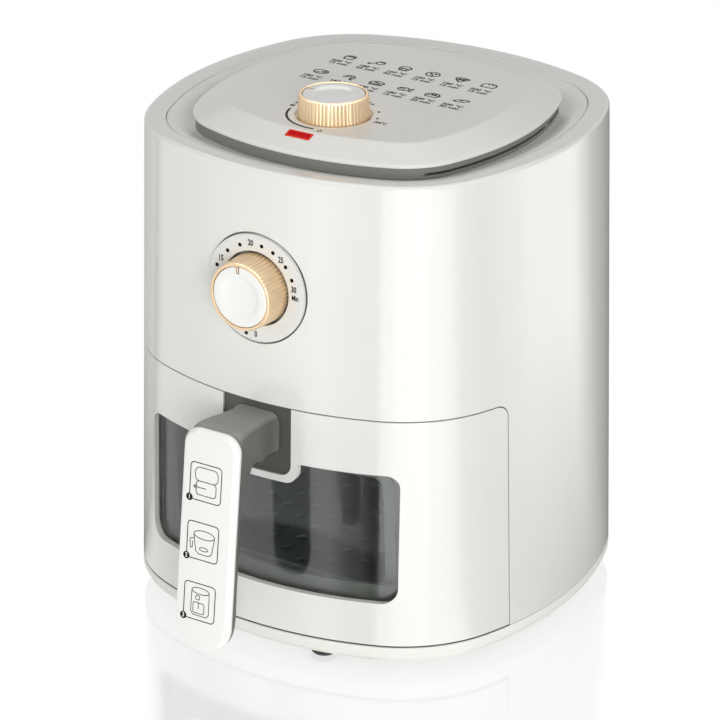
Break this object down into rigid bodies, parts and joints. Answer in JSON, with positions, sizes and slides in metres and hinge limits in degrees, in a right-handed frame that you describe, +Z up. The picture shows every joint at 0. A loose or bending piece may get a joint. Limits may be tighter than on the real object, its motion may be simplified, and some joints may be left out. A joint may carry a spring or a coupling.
{
  "type": "air fryer",
  "caption": "Countertop air fryer with a rounded white body, a windowed pull-out drawer and pan, a front timer knob, a top temperature knob and a raised top plate.",
  "frame": {"origin": "centre of the bounding box at the table, under the feet", "axes": "+X to the right as seen from the front, +Y to the back, +Z up"},
  "size_m": [0.2776, 0.3346, 0.3317],
  "materials": {
    "white_plastic": "moulded, satin to gloss",
    "grey_plastic": "moulded, satin",
    "dark_plastic": "moulded, matt",
    "gold_plastic": "moulded with fine flutes, satin gold",
    "lens_red": "clear red moulding",
    "neon_glass": "clear glass",
    "switch_black": "moulded, matt",
    "switch_red": "moulded",
    "ceramic": "glazed ceramic look",
    "fuse_ceramic": "fired ceramic look",
    "rubber_black": "moulded, matt",
    "silicone_white": "moulded silicone",
    "silicone_red": "moulded silicone",
    "sheet_steel": "mill finish",
    "bright_steel": "polished",
    "aluminium_sheet": "bright rolled",
    "laminations": "stacked steel sheets",
    "rotor_steel": "turned",
    "heater_tube": "drawn tube, heat stained",
    "copper_wire": "enamelled copper winding",
    "copper_tube": "drawn copper",
    "zinc_screw": "zinc plated",
    "pan_coating": "non-stick coated",
    "clear_glass": "clear, tempered",
    "fan_plastic": "moulded"
  },
  "bodies": {
    "housing": {"outer_housing": "white_plastic", "top_cover": "grey_plastic", "intake_grille": "dark_plastic", "top_panel": "grey_plastic", "indicator_lens": "lens_red", "indicator_lamp": "neon_glass", "dial_plate": "grey_plastic", "timer_body": "sheet_steel", "timer_bell": "bright_steel", "thermostat_body": "sheet_steel", "thermostat_bulb": "copper_tube", "base_pan": "white_plastic", "rubber_feet": "rubber_black", "front_bezel": "white_plastic", "cavity_liner": "sheet_steel", "drawer_rails": "sheet_steel", "heat_reflector": "aluminium_sheet", "heating_element": "heater_tube", "heater_clips": "sheet_steel", "heater_guard": "bright_steel", "motor_bracket": "sheet_steel", "motor_stator": "laminations", "motor_coil": "copper_wire", "motor_bearings": "sheet_steel", "rear_vent": "white_plastic", "exhaust_duct": "aluminium_sheet", "cord_gland": "dark_plastic", "terminal_block": "ceramic", "thermal_fuse": "fuse_ceramic", "microswitch_body": "switch_black", "base_screws": "zinc_screw"},
    "rotor": {"motor_shaft": "bright_steel", "rotor_core": "rotor_steel", "convection_fan": "sheet_steel", "fan_nut": "zinc_screw", "cooling_fan": "fan_plastic"},
    "timer_knob": {"timer_shaft": "sheet_steel", "timer_knob_ring": "gold_plastic", "timer_knob_cap": "white_plastic", "timer_pointer": "gold_plastic"},
    "temp_knob": {"temp_shaft": "sheet_steel", "temp_knob_ring": "gold_plastic", "temp_knob_cap": "white_plastic", "temp_pointer": "gold_plastic"},
    "drawer": {"drawer_front": "white_plastic", "window_glass": "clear_glass", "window_gasket": "silicone_white", "drawer_backing": "dark_plastic", "handle_plinth": "dark_plastic", "handle_core": "dark_plastic", "handle_cover": "white_plastic", "handle_screws": "zinc_screw", "pan_bracket": "sheet_steel", "frying_pan": "pan_coating", "pan_glass": "clear_glass", "pan_glass_frame": "sheet_steel"},
    "crisper": {"crisper_plate": "pan_coating", "crisper_bumpers": "silicone_red", "crisper_loop": "bright_steel"},
    "switch": {"switch_plunger": "switch_red"}
  },
  "joints": [
    {"name": "drawer_slide", "type": "slide", "parent": "housing", "child": "drawer", "axis": [0, -1, 0], "range_m": [0, 0.26]},
    {"name": "crisper_lift", "type": "slide", "parent": "drawer", "child": "crisper", "axis": [0, 0, 1], "range_m": [0, 0.08]},
    {"name": "timer_turn", "type": "hinge", "parent": "housing", "child": "timer_knob", "pos_m": [0, -0.1, 0.2358], "axis": [0, 1, 0], "range_deg": [-173.4, 86.5]},
    {"name": "temp_turn", "type": "hinge", "parent": "housing", "child": "temp_knob", "pos_m": [0, -0.0195, 0.3], "axis": [0, 0, -1], "range_deg": [-105, 177]},
    {"name": "rotor_spin", "type": "hinge", "parent": "housing", "child": "rotor", "pos_m": [0, 0.0295, 0.22], "axis": [0, 0, 1], "continuous": true},
    {"name": "switch_press", "type": "slide", "parent": "housing", "child": "switch", "axis": [0, 1, 0], "range_m": [0, 0.0015], "stiffness_N_per_m": 150}
  ]
}
